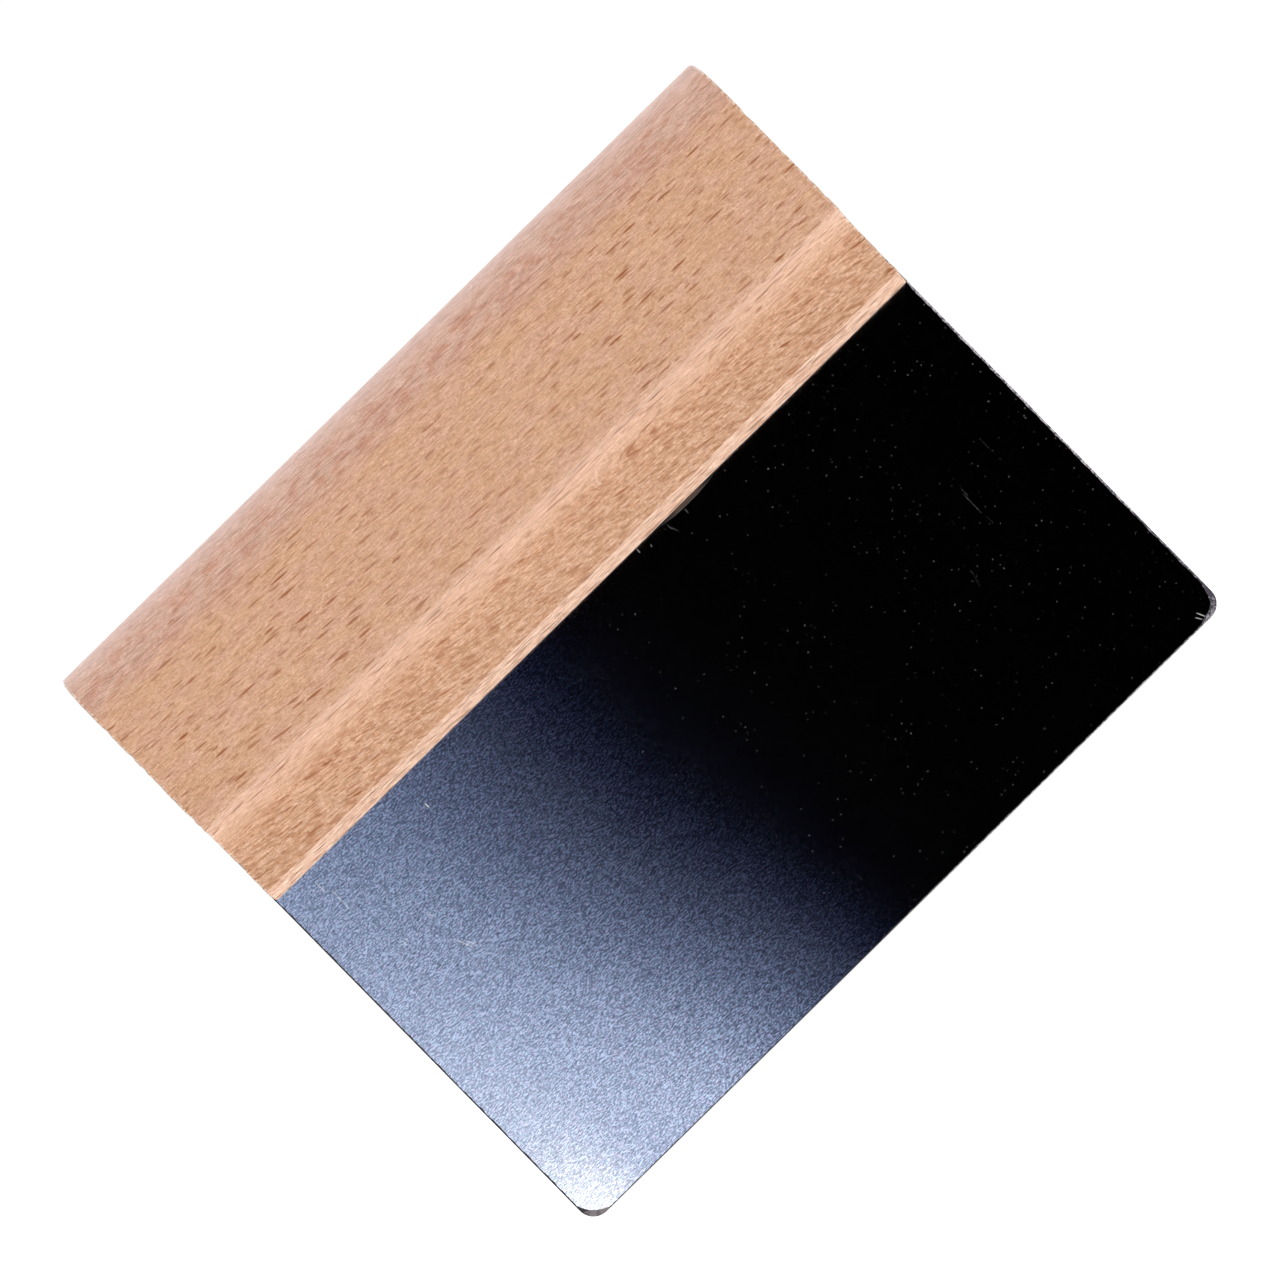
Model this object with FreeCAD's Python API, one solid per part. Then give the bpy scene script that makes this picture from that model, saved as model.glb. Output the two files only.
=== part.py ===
"""Bench scraper: a sheet steel blade bonded into the sawn kerf of a moulded beech handle.

Frame, in millimetres: the scraper stands on its cutting edge as it does in use.
The origin is the middle of the cutting edge, +X runs along that edge, +Z runs up
through the blade to the back of the handle, and the front face looks along -Y.
"""
import FreeCAD, Part
import math
import os

Vector = FreeCAD.Vector

# Driving dimensions
WIDTH = 152.0                # blade and handle share one length along X
BLADE_EXPOSED = 77.7         # cutting edge to the lower face of the handle
HANDLE_HEIGHT = 52.7         # lower face to the top of the bullnose
BLADE_THICKNESS = 1.0
BODY_THICKNESS = 21.0        # the grip; its top is a full half round
NECK_THICKNESS = 11.0        # the thinner part that carries the blade

# Handle profile
GRIP_HEIGHT = 35.9           # top of the bullnose down to the arris over the cove
LIP_CHAMFER = 2.2            # leads from the neck to the narrow lower face
END_EASING = 0.6             # sanded edge round both sawn ends of the grip

# Joint between blade and handle
KERF_DEPTH = 22.0
GLUE_FILM = 0.2              # on each side of the blade
GLUE_ROOT = 0.4              # between the blade's upper edge and the root of the kerf
KEY_HOLE_DIAMETER = 6.0
KEY_HOLE_PITCH = 50.0
KEY_HOLE_COUNT = 3

# Free corners of the blade
CORNER_RADIUS = 3.2
FACET_WIDTH = 1.3            # ground facet, measured inwards from the tip of the corner
FACET_DEPTH = 0.3            # how much the facet takes off each face at the tip

# Adhesive squeezed out at the mouth of the kerf, on the front face only
BEAD_CENTRE_X = 22.5
BEAD_LENGTH = 14.0
BEAD_HEIGHT = 1.0
BEAD_THICKNESS = 0.3

# Worked out from the dimensions above
TOP_Z = BLADE_EXPOSED + HANDLE_HEIGHT
BODY_HALF = BODY_THICKNESS / 2
NECK_HALF = NECK_THICKNESS / 2
COVE_RADIUS = BODY_HALF - NECK_HALF
ARRIS_Z = TOP_Z - GRIP_HEIGHT
KERF_WIDTH = BLADE_THICKNESS + 2 * GLUE_FILM
KERF_ROOT_Z = BLADE_EXPOSED + KERF_DEPTH
BLADE_TOP_Z = KERF_ROOT_Z - GLUE_ROOT
KEY_HOLE_Z = BLADE_EXPOSED + KERF_DEPTH / 2


def line(start, end):
    """Straight edge between two (y, z) points of the handle's profile."""
    return Part.LineSegment(Vector(0, *start), Vector(0, *end)).toShape()


def arc(start, middle, end):
    """Round edge through three (y, z) points of the handle's profile."""
    return Part.Arc(Vector(0, *start), Vector(0, *middle), Vector(0, *end)).toShape()


def profile_side(side):
    """Edges of one half of the profile, from the lower face up to the top; side is 1 or -1."""
    neck = side * NECK_HALF
    body = side * BODY_HALF
    chamfer_z = BLADE_EXPOSED + LIP_CHAMFER
    cove_z = ARRIS_Z - COVE_RADIUS
    spring_z = TOP_Z - BODY_HALF
    diagonal = math.sqrt(0.5)
    cove_middle = (body - side * COVE_RADIUS * diagonal, cove_z + COVE_RADIUS * diagonal)
    nose_middle = (body * diagonal, spring_z + BODY_HALF * diagonal)
    return [
        line((0, BLADE_EXPOSED), (neck - side * LIP_CHAMFER, BLADE_EXPOSED)),
        line((neck - side * LIP_CHAMFER, BLADE_EXPOSED), (neck, chamfer_z)),
        line((neck, chamfer_z), (neck, cove_z)),
        arc((neck, cove_z), cove_middle, (body, ARRIS_Z)),
        line((body, ARRIS_Z), (body, spring_z)),
        arc((body, spring_z), nose_middle, (0, TOP_Z)),
    ]


def centred_box(size_x, size_y, bottom_z, top_z):
    """Box centred on the Z axis in X and Y."""
    corner = Vector(-size_x / 2, -size_y / 2, bottom_z)
    return Part.makeBox(size_x, size_y, top_z - bottom_z, corner)


def is_end_edge_of_grip(edge):
    """True for the edges round either sawn end, above the arris and clear of its corner."""
    box = edge.BoundBox
    on_end = box.XLength < 0.01 and abs(abs(box.Center.x) - WIDTH / 2) < 0.01
    return on_end and box.ZMin > ARRIS_Z - 0.01 and box.ZLength > 1


def make_handle():
    """Moulded beech section, cut to length, sawn for the blade and eased at both ends."""
    upper = profile_side(1)
    lower = profile_side(-1)
    wire = Part.Wire(Part.__sortEdges__(upper + lower))
    section = Part.Face(wire)
    section.translate(Vector(-WIDTH / 2, 0, 0))
    solid = section.extrude(Vector(WIDTH, 0, 0))
    end_edges = [edge for edge in solid.Edges if is_end_edge_of_grip(edge)]
    solid = solid.makeChamfer(END_EASING, end_edges)
    kerf = centred_box(WIDTH + 2, KERF_WIDTH, BLADE_EXPOSED - 1, KERF_ROOT_Z)
    return solid.cut(kerf)


def corner_facet(side_x, side_y):
    """Wedge ground off one face at one free corner of the blade."""
    tip_inset = CORNER_RADIUS * (math.sqrt(2) - 1)
    outer = 2 * CORNER_RADIUS
    slope = FACET_DEPTH / FACET_WIDTH
    face_y = BLADE_THICKNESS / 2
    start = tip_inset + FACET_WIDTH
    # The wedge is drawn across the corner's diagonal, u, counted inwards from the sharp corner.
    # It runs past the corner on the open side, so that it cuts cleanly.
    points = [
        (start, face_y),
        (start - outer, face_y - slope * outer),
        (start - outer, face_y + 1),
        (start, face_y + 1),
    ]
    wedge_points = [Vector(0, y, u) for u, y in points]
    wire = Part.makePolygon(wedge_points + wedge_points[:1])
    wedge = Part.Face(wire).extrude(Vector(outer * 2, 0, 0))
    wedge.translate(Vector(-outer, 0, 0))
    wedge.rotate(Vector(0, 0, 0), Vector(0, 1, 0), 45)
    wedge.translate(Vector(-WIDTH / 2, 0, 0))
    if side_y < 0:
        wedge = wedge.mirror(Vector(0, 0, 0), Vector(0, 1, 0))
    if side_x > 0:
        wedge = wedge.mirror(Vector(0, 0, 0), Vector(1, 0, 0))
    return wedge


def make_blade():
    """Stamped sheet: rounded, ground free corners below, and a pierced tang above."""
    sheet = centred_box(WIDTH, BLADE_THICKNESS, 0, BLADE_TOP_Z)
    free_corners = [
        edge for edge in sheet.Edges
        if edge.BoundBox.YLength > BLADE_THICKNESS / 2 and edge.BoundBox.ZMax < 1
    ]
    sheet = sheet.makeFillet(CORNER_RADIUS, free_corners)
    for side_x in (-1, 1):
        for side_y in (-1, 1):
            sheet = sheet.cut(corner_facet(side_x, side_y))
    first_x = -KEY_HOLE_PITCH * (KEY_HOLE_COUNT - 1) / 2
    for index in range(KEY_HOLE_COUNT):
        start = Vector(first_x + index * KEY_HOLE_PITCH, -BLADE_THICKNESS, KEY_HOLE_Z)
        hole = Part.makeCylinder(KEY_HOLE_DIAMETER / 2, 2 * BLADE_THICKNESS, start, Vector(0, 1, 0))
        sheet = sheet.cut(hole)
    return sheet


def make_bead():
    """Lens of adhesive that lies on the blade's front face, against the handle's lower face."""
    left = Vector(BEAD_CENTRE_X - BEAD_LENGTH / 2, 0, BLADE_EXPOSED)
    right = Vector(BEAD_CENTRE_X + BEAD_LENGTH / 2, 0, BLADE_EXPOSED)
    lowest = Vector(BEAD_CENTRE_X, 0, BLADE_EXPOSED - BEAD_HEIGHT)
    outline = Part.Wire([Part.Arc(left, lowest, right).toShape(), Part.makeLine(right, left)])
    lens = Part.Face(outline).extrude(Vector(0, -BEAD_THICKNESS, 0))
    lens.translate(Vector(0, -BLADE_THICKNESS / 2, 0))
    return lens


def make_adhesive(blade):
    """Cured adhesive: it fills what the blade leaves of the kerf, and the holes in the tang."""
    filled_kerf = centred_box(WIDTH, KERF_WIDTH, BLADE_EXPOSED, KERF_ROOT_Z)
    return filled_kerf.cut(blade).fuse(make_bead()).removeSplitter()


def main():
    handle = make_handle()
    blade = make_blade()
    nodes = {
        "handle": handle,
        "blade": blade,
        "adhesive": make_adhesive(blade),
    }
    os.makedirs("parts", exist_ok=True)
    for name, shape in nodes.items():
        solid_count = len(shape.Solids)
        print(name, "solids", solid_count, "valid", shape.isValid(), "volume", round(shape.Volume, 1))
        shape.exportStep("parts/" + name + ".step")


main()
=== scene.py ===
import bmesh
import bpy
import math
from mathutils import Matrix, Vector, noise
from mathutils.geometry import delaunay_2d_cdt


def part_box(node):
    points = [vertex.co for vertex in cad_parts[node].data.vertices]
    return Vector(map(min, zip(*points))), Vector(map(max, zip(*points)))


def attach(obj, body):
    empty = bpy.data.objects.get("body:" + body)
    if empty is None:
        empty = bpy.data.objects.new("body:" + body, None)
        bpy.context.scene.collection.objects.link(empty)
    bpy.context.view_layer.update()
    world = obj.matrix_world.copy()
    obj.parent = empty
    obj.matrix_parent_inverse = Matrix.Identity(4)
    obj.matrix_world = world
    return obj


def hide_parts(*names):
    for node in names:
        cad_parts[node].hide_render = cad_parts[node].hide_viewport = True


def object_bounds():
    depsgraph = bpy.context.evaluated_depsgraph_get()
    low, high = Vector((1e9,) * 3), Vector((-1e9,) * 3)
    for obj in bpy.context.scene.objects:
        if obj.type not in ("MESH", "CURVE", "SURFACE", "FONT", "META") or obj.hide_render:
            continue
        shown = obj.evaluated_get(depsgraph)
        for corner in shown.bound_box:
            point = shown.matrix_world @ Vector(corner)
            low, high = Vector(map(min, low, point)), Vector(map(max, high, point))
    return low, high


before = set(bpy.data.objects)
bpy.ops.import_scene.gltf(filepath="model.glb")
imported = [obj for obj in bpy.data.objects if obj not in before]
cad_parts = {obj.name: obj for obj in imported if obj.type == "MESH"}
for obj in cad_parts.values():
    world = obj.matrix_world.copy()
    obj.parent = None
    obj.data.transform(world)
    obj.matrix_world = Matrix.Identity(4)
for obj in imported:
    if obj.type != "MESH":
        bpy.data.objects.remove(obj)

cad_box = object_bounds()

MM = 0.001

# The CAD model's own corners give every driving size, in metres
HANDLE_LOW, HANDLE_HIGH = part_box("handle")
BLADE_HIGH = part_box("blade")[1]
ADHESIVE_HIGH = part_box("adhesive")[1]

HALF_WIDTH = HANDLE_HIGH.x
TOP_Z = HANDLE_HIGH.z
LIP_Z = HANDLE_LOW.z
BODY_HALF = HANDLE_HIGH.y
BLADE_HALF = BLADE_HIGH.y
BLADE_TOP_Z = BLADE_HIGH.z
KERF_HALF = ADHESIVE_HIGH.y
KERF_ROOT_Z = ADHESIVE_HIGH.z

# Handle section
NECK_HALF = 5.5 * MM
GRIP_HEIGHT = 35.9 * MM
LIP_CHAMFER = 2.2 * MM
COVE_RADIUS = BODY_HALF - NECK_HALF
ARRIS_Z = TOP_Z - GRIP_HEIGHT
SPRING_Z = TOP_Z - BODY_HALF
ARRIS_SOFTNESS = 0.5 * MM
SECTION_STEP = 0.35 * MM
GRAIN_STEP = 1.4 * MM
WORN_ROWS = (0, 0.06, 0.15, 0.3, 0.5, 0.8)  # millimetres from a sawn end
WORN_LENGTH = WORN_ROWS[-1] * MM
END_NET_STEP = 1.0 * MM
FIBRE_DEPTH = 0.012 * MM
FIBRE_SIZE = 0.5 * MM
FIBRE_STRETCH = 0.05  # width over length of a raised fibre

# Blade
CORNER_RADIUS = 3.2 * MM
CORNER_STEP = math.radians(3)
CORNER_CLEARANCE = 5.0 * MM
EDGE_STEP = 0.5 * MM
EDGE_SLOPE = 0.5  # depth over width of the bevels along the edges
FACET_WIDTH = 1.3 * MM
FACET_SLOPE = 0.24  # the same for the ground facet of a free corner
LEAST_BEVEL = 0.01 * MM
SHEET_STEP = 2.0 * MM
HOLE_RADIUS = 3.0 * MM
HOLE_PITCH = 50.0 * MM
HOLE_Z = (LIP_Z + KERF_ROOT_Z) / 2
BOW = 0.012 * MM
BOW_LENGTH = 45 * MM
FREE_LENGTH = 20 * MM  # how far below the lip the bow is full

# Bead of adhesive at the mouth of the kerf
BEAD_CENTRE_X = 22.5 * MM
BEAD_HALF_LENGTH = 7.0 * MM
BEAD_HEIGHT = 0.85 * MM
BEAD_THICKNESS = 0.3 * MM
BEAD_STEP = 0.25 * MM
FILM_STEP = 2 * MM


# ---------------------------------------------------------------- mesh helpers

# Settings of the triangulation: fill inside the outline and not its holes; points this close are one
FILL_INSIDE = 2
CLOSENESS = 1e-7


def span(start, end, step):
    """Evenly spaced values from start to end, both included, no further apart than step."""
    count = max(1, math.ceil(abs(end - start) / step))
    return [start + (end - start) * i / count for i in range(count + 1)]


def smooth(low, high, value):
    """0 below low, 1 above high, and a smooth rise between them."""
    t = min(1.0, max(0.0, (value - low) / (high - low)))
    return t * t * (3 - 2 * t)


def wobble(x, y, z, size):
    """Smooth noise from -1 to 1 whose bumps are about size across."""
    return noise.noise(Vector((x, y, z)) / size)


def finish_mesh(name, mesh_data, materials, sharp_angle=35):
    """Turns a bmesh into a scene object with smooth faces and sharp creases."""
    bmesh.ops.recalc_face_normals(mesh_data, faces=mesh_data.faces)
    for face in mesh_data.faces:
        face.smooth = True
    for edge in mesh_data.edges:
        if len(edge.link_faces) == 2:
            edge.smooth = edge.calc_face_angle(0) < math.radians(sharp_angle)
    mesh = bpy.data.meshes.new(name)
    mesh_data.to_mesh(mesh)
    mesh_data.free()
    for material in materials:
        mesh.materials.append(material)
    piece = bpy.data.objects.new(name, mesh)
    bpy.context.scene.collection.objects.link(piece)
    return piece


def fill_outline(mesh_data, corners, holes, inner_points, place):
    """Triangulates the inside of a closed outline round its holes; place gives a 2D point's vertex."""
    points = list(corners)
    loops = [list(range(len(corners)))]
    for hole in holes:
        first = len(points)
        points.extend(hole)
        loops.append(list(range(first, len(points))))
    edges = [(loop[i - 1], loop[i]) for loop in loops for i in range(len(loop))]
    fixed_count = len(points)
    points.extend(inner_points)
    result = delaunay_2d_cdt([Vector(p) for p in points], edges, [], FILL_INSIDE, CLOSENESS)
    coords, faces, sources = result[0], result[2], result[3]
    made = []
    for index, coord in enumerate(coords):
        source = sources[index][0] if sources[index] else None
        made.append(place(coord, source if source is not None and source < fixed_count else None))
    for face in faces:
        mesh_data.faces.new([made[i] for i in face])


# ---------------------------------------------------------------- handle

def handle_half_section():
    """(y, z) points of one side of the section, from the lower face up to the top of the back."""
    points = []
    lip_inner = NECK_HALF - LIP_CHAMFER
    points += [(y, LIP_Z) for y in span(KERF_HALF, lip_inner, SECTION_STEP)]
    for t in span(0, 1, 0.2)[1:]:
        points.append((lip_inner + LIP_CHAMFER * t, LIP_Z + LIP_CHAMFER * t))
    cove_z = ARRIS_Z - COVE_RADIUS
    points += [(NECK_HALF, z) for z in span(LIP_Z + LIP_CHAMFER, cove_z, SECTION_STEP)[1:]]
    cove_end = math.pi / 2 + math.asin(ARRIS_SOFTNESS / COVE_RADIUS)
    for angle in span(math.pi, cove_end, math.radians(4.5))[1:]:
        points.append((BODY_HALF + COVE_RADIUS * math.cos(angle), cove_z + COVE_RADIUS * math.sin(angle)))
    soft_y, soft_z = BODY_HALF - ARRIS_SOFTNESS, ARRIS_Z + ARRIS_SOFTNESS
    for angle in span(-math.pi / 2, 0, math.radians(15))[1:]:
        points.append((soft_y + ARRIS_SOFTNESS * math.cos(angle), soft_z + ARRIS_SOFTNESS * math.sin(angle)))
    points += [(BODY_HALF, z) for z in span(soft_z, SPRING_Z, SECTION_STEP)[1:]]
    for angle in span(0, math.pi / 2, math.radians(2.25))[1:]:
        points.append((BODY_HALF * math.cos(angle), SPRING_Z + BODY_HALF * math.sin(angle)))
    return points


def handle_section():
    """Closed (y, z) loop of the whole section with the kerf, and where its outside starts and ends."""
    half = handle_half_section()
    kerf_levels = span(KERF_ROOT_Z, LIP_Z, 2.5 * MM)
    right_wall = [(KERF_HALF, z) for z in kerf_levels[:-1]]
    left_wall = [(-KERF_HALF, z) for z in reversed(kerf_levels[:-1])]
    left = [(-y, z) for y, z in half]
    loop = right_wall + half + list(reversed(left[:-1])) + left_wall
    return loop, len(right_wall), len(right_wall) + len(half) + len(left) - 1


def outward_normals(loop):
    """Direction out of the section at each of its points."""
    normals = []
    for i in range(len(loop)):
        ahead = loop[(i + 1) % len(loop)]
        behind = loop[i - 1]
        tangent = Vector((ahead[0] - behind[0], ahead[1] - behind[1])).normalized()
        normals.append(Vector((tangent.y, -tangent.x)))
    return normals


def worn_point(x, y, z, normal, outside):
    """One point of the handle, moved in by the sawn end's rounding, nicks and wander."""
    from_end = HALF_WIDTH - abs(x)
    near_end = smooth(WORN_LENGTH, 0, from_end)
    inset = 0
    nick = 0
    if outside:
        radius = end_radius(x, z)
        if from_end < radius:
            inset = radius - math.sqrt(radius ** 2 - (radius - from_end) ** 2)
        nick = end_nick(x, y, z) * near_end
        inset += FIBRE_DEPTH * (0.5 + 0.5 * wobble(x * FIBRE_STRETCH, y, z, FIBRE_SIZE))
    worn_x = x - math.copysign(nick + saw_wander(x, z) * near_end, x)
    return worn_x, y - normal.x * inset, z - normal.y * inset


def build_handle(material):
    """The moulded section swept along the grain between two sawn ends."""
    loop, outer_start, outer_end = handle_section()
    count = len(loop)
    normals = outward_normals(loop)
    rows = [-HALF_WIDTH + distance * MM for distance in WORN_ROWS]
    rows += span(-HALF_WIDTH + GRAIN_STEP, HALF_WIDTH - GRAIN_STEP, GRAIN_STEP)
    rows += [HALF_WIDTH - distance * MM for distance in reversed(WORN_ROWS)]
    mesh_data = bmesh.new()
    rings = []
    for x in rows:
        ring = []
        for i, (y, z) in enumerate(loop):
            outside = outer_start <= i < outer_end
            ring.append(mesh_data.verts.new(worn_point(x, y, z, normals[i], outside)))
        rings.append(ring)
    for near, far in zip(rings, rings[1:]):
        for i in range(count):
            mesh_data.faces.new((near[i - 1], near[i], far[i], far[i - 1]))
    cap_end(mesh_data, rings[0], rows[0])
    cap_end(mesh_data, rings[-1], rows[-1])
    return finish_mesh("beech_handle", mesh_data, [material])


def end_radius(x, z):
    """Radius to which an end's arris was sanded: most at the back, least at the lip."""
    back = smooth(TOP_Z - 4 * MM, TOP_Z - 1 * MM, z)
    lip = smooth(LIP_Z + 2 * MM, LIP_Z, z)
    largest = 1.15 if x > 0 else 0.8
    return (0.18 + (largest - 0.18) * back + 0.5 * lip) * MM


def saw_wander(x, z):
    """How far a sawn end stands back from true at one height; the saw wandered slightly."""
    slow = 0.5 + 0.5 * wobble(x, 0.7, z, 3.4 * MM)
    notch = smooth(0.05, 0.55, wobble(x, 0.2, z, 1.2 * MM))
    chip = smooth(0.10, 0.50, wobble(x, 0.4, z, 0.5 * MM))
    return (0.12 * slow + 0.20 * notch + 0.10 * chip) * MM


def end_nick(x, y, z):
    """Depth of the saw's tear-out at one point of an end's outline."""
    tear = 0.5 + 0.5 * wobble(y + x, 0.3, z, 2.2 * MM) + 0.7 * max(0.0, wobble(y, x, z, 0.75 * MM))
    return (0.26 if x < 0 else 0.18) * MM * tear


def half_thickness(z):
    """Half the handle's thickness at one height."""
    if z < LIP_Z + LIP_CHAMFER:
        return NECK_HALF - LIP_CHAMFER + z - LIP_Z
    if z < ARRIS_Z - COVE_RADIUS:
        return NECK_HALF
    if z < ARRIS_Z:
        return BODY_HALF - math.sqrt(COVE_RADIUS ** 2 - (z - ARRIS_Z + COVE_RADIUS) ** 2)
    if z < SPRING_Z:
        return BODY_HALF
    return math.sqrt(BODY_HALF ** 2 - (z - SPRING_Z) ** 2)


def cap_end(mesh_data, ring, x):
    """Closes the sawn end at x with a fine net of triangles, clear of the outline and the kerf."""
    corners = [(v.co.y, v.co.z) for v in ring]
    margin = 0.5 * END_NET_STEP
    inner = []
    for z in span(LIP_Z + END_NET_STEP, TOP_Z - END_NET_STEP, END_NET_STEP):
        low = KERF_HALF + margin if z < KERF_ROOT_Z + margin else margin
        high = half_thickness(z) - 1.6 * END_NET_STEP
        if high > low:
            for y in span(low, high, END_NET_STEP):
                inner += [(y, z), (-y, z)]

    def place(coord, source):
        if source is not None:
            return ring[source]
        return mesh_data.verts.new((x - math.copysign(saw_wander(x, coord.y), x), coord.x, coord.y))

    fill_outline(mesh_data, corners, [], inner, place)


# ---------------------------------------------------------------- blade

def corner_tip(x, z):
    """1 in the middle of a free corner, falling to 0 a few millimetres along either edge."""
    reach = (5.8 if x > 0 else 4.3) * MM
    middle = CORNER_RADIUS * (1 - math.sqrt(0.5))
    distance = max(HALF_WIDTH - abs(x), z) - middle
    return max(0.0, 1 - (distance / (reach - middle)) ** 2) ** 0.8


def outline_point(x, z, normal_x, normal_z, tip=0.0):
    """A point of the outline, the inward normal there, and the width and depth of the dressed edge."""
    free = smooth(LIP_Z + 1 * MM, LIP_Z - 1 * MM, z)
    along = x if abs(normal_z) > 0.5 else z
    rough = 0.5 + 0.5 * wobble(along, x, z, 1.3 * MM) + 0.35 * wobble(along, z, x, 0.45 * MM)
    side = (0.20 if x > 0 else 0.14) + 0.28 * rough
    lower = 0.12 + 0.14 * rough
    width = side * abs(normal_x) ** 2 + lower * abs(normal_z) ** 2
    ground = FACET_WIDTH / MM * tip * (0.80 + 0.16 * rough)
    slope = EDGE_SLOPE + (FACET_SLOPE - EDGE_SLOPE) * smooth(0, 0.3, tip)
    total = max(width, ground) * free * MM + LEAST_BEVEL
    return x, z, normal_x, normal_z, total, total * slope


def blade_outline():
    """Closed loop of outline points: down the left side, along the cutting edge, up the right, back."""
    half, radius = HALF_WIDTH, CORNER_RADIUS
    points = [(-half, z, 1, 0) for z in span(BLADE_TOP_Z, radius, EDGE_STEP)[:-1]]
    for angle in span(0, math.pi / 2, CORNER_STEP):
        cos, sin = math.cos(angle), math.sin(angle)
        points.append((-half + radius - radius * cos, radius - radius * sin, cos, sin))
    points += [(x, 0, 0, 1) for x in span(-half + radius, half - radius, EDGE_STEP)[1:-1]]
    for angle in span(math.pi / 2, 0, CORNER_STEP):
        cos, sin = math.cos(angle), math.sin(angle)
        points.append((half - radius + radius * cos, radius - radius * sin, -cos, sin))
    points += [(half, z, -1, 0) for z in span(radius, BLADE_TOP_Z, EDGE_STEP)[1:]]
    loop = [outline_point(x, z, nx, nz, corner_tip(x, z)) for x, z, nx, nz in points]
    loop += [outline_point(x, BLADE_TOP_Z, 0, -1) for x in span(half, -half, SHEET_STEP)[1:-1]]
    return loop


def sheet_net(hole_centres):
    """Points of an even net over the sheet, clear of its holes and its free corners."""
    net = []
    for x in span(-HALF_WIDTH + SHEET_STEP, HALF_WIDTH - SHEET_STEP, SHEET_STEP):
        for z in span(SHEET_STEP, BLADE_TOP_Z - SHEET_STEP, SHEET_STEP):
            from_hole = min(math.hypot(x - centre_x, z - HOLE_Z) for centre_x in hole_centres)
            from_corner = math.hypot(HALF_WIDTH - abs(x), z)
            if from_hole > HOLE_RADIUS + SHEET_STEP / 2 and from_corner > CORNER_CLEARANCE:
                net.append((x, z))
    return net


def flatness(x, z):
    """How far the rolled sheet stands off a true plane; the kerf holds it true."""
    return BOW * smooth(LIP_Z, LIP_Z - FREE_LENGTH, z) * wobble(x, 0.02, z, BOW_LENGTH)


def add_sheet_face(mesh_data, side, loop, holes, net):
    """One face of the sheet. Returns its outline, the edge beside it and, by number, its hole points."""
    count = len(loop)
    face_ring, edge_ring, hole_points = [], [], {}

    def on_face(x, z):
        return mesh_data.verts.new((x, side * BLADE_HALF + flatness(x, z), z))

    def place(coord, source):
        if source is not None and source < count:
            return face_ring[source]
        vertex = on_face(coord.x, coord.y)
        if source is not None:
            hole_points[source - count] = vertex
        return vertex

    for x, z, normal_x, normal_z, width, depth in loop:
        face_ring.append(on_face(x + normal_x * width, z + normal_z * width))
        edge_y = side * (BLADE_HALF - depth) + flatness(x, z)
        edge_ring.append(mesh_data.verts.new((x, edge_y, z)))
    corners = [(v.co.x, v.co.z) for v in face_ring]
    fill_outline(mesh_data, corners, holes, net, place)
    return face_ring, edge_ring, hole_points


def add_dressed_edges(mesh_data, uv_layer, loop, strips):
    """Bevels and edge as strips between two rings each; the uv map runs along and across them."""
    along = 0.0
    for i in range(len(loop)):
        length = math.hypot(loop[i][0] - loop[i - 1][0], loop[i][1] - loop[i - 1][1])
        start, end = along / MM, (along + length) / MM
        for inner_ring, outer_ring in strips:
            face = mesh_data.faces.new((inner_ring[i - 1], inner_ring[i], outer_ring[i], outer_ring[i - 1]))
            face.material_index = 1
            for corner, uv in zip(face.loops, ((start, 0), (end, 0), (end, 1), (start, 1))):
                corner[uv_layer].uv = uv
        along += length


def build_blade(sheet_material, ground_material):
    """The stamped sheet, with its deburred edges, ground free corners and pierced tang."""
    loop = blade_outline()
    mesh_data = bmesh.new()
    uv_layer = mesh_data.loops.layers.uv.new("grain")
    hole_steps = span(0, 2 * math.pi, math.radians(7.5))[:-1]
    hole_centres = [-HOLE_PITCH, 0, HOLE_PITCH]
    holes = [
        [(cx + HOLE_RADIUS * math.cos(a), HOLE_Z + HOLE_RADIUS * math.sin(a)) for a in hole_steps]
        for cx in hole_centres
    ]
    net = sheet_net(hole_centres)
    front_face, front_edge, front_holes = add_sheet_face(mesh_data, -1, loop, holes, net)
    back_face, back_edge, back_holes = add_sheet_face(mesh_data, 1, loop, holes, net)
    strips = ((front_face, front_edge), (back_face, back_edge), (front_edge, back_edge))
    add_dressed_edges(mesh_data, uv_layer, loop, strips)
    per_hole = len(hole_steps)
    for first in range(0, per_hole * len(holes), per_hole):
        for i in range(per_hole):
            a, b = first + i, first + (i + 1) % per_hole
            wall = mesh_data.faces.new((front_holes[a], front_holes[b], back_holes[b], back_holes[a]))
            wall.material_index = 1
    for face in mesh_data.faces:
        if face.material_index == 0:
            for corner in face.loops:
                corner[uv_layer].uv = (corner.vert.co.z / MM, corner.vert.co.x / MM)
    return finish_mesh("steel_blade", mesh_data, [sheet_material, ground_material], sharp_angle=8)


# ---------------------------------------------------------------- adhesive

def adhesive_loop(x):
    """(y, z) loop of the adhesive's section at x: a film in the kerf, thicker below it in the bead."""
    reach = (x - BEAD_CENTRE_X) / BEAD_HALF_LENGTH
    swell = max(0.0, 1 - reach ** 2)
    ripple = 1 + 0.06 * wobble(x, 0, 0, 1.7 * MM)
    height = BEAD_HEIGHT * swell ** 0.55 * ripple
    film = KERF_HALF - BLADE_HALF
    thick = film + (BEAD_THICKNESS - film) * swell
    loop = []
    for angle in span(0, math.pi / 2, math.radians(15)):
        loop.append((-BLADE_HALF - thick * math.sin(angle), LIP_Z - height * math.cos(angle)))
    loop += [(-KERF_HALF, LIP_Z), (-KERF_HALF, KERF_ROOT_Z), (KERF_HALF, KERF_ROOT_Z), (KERF_HALF, LIP_Z)]
    loop += [(BLADE_HALF, LIP_Z), (BLADE_HALF, BLADE_TOP_Z), (-BLADE_HALF, BLADE_TOP_Z)]
    return loop


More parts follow.
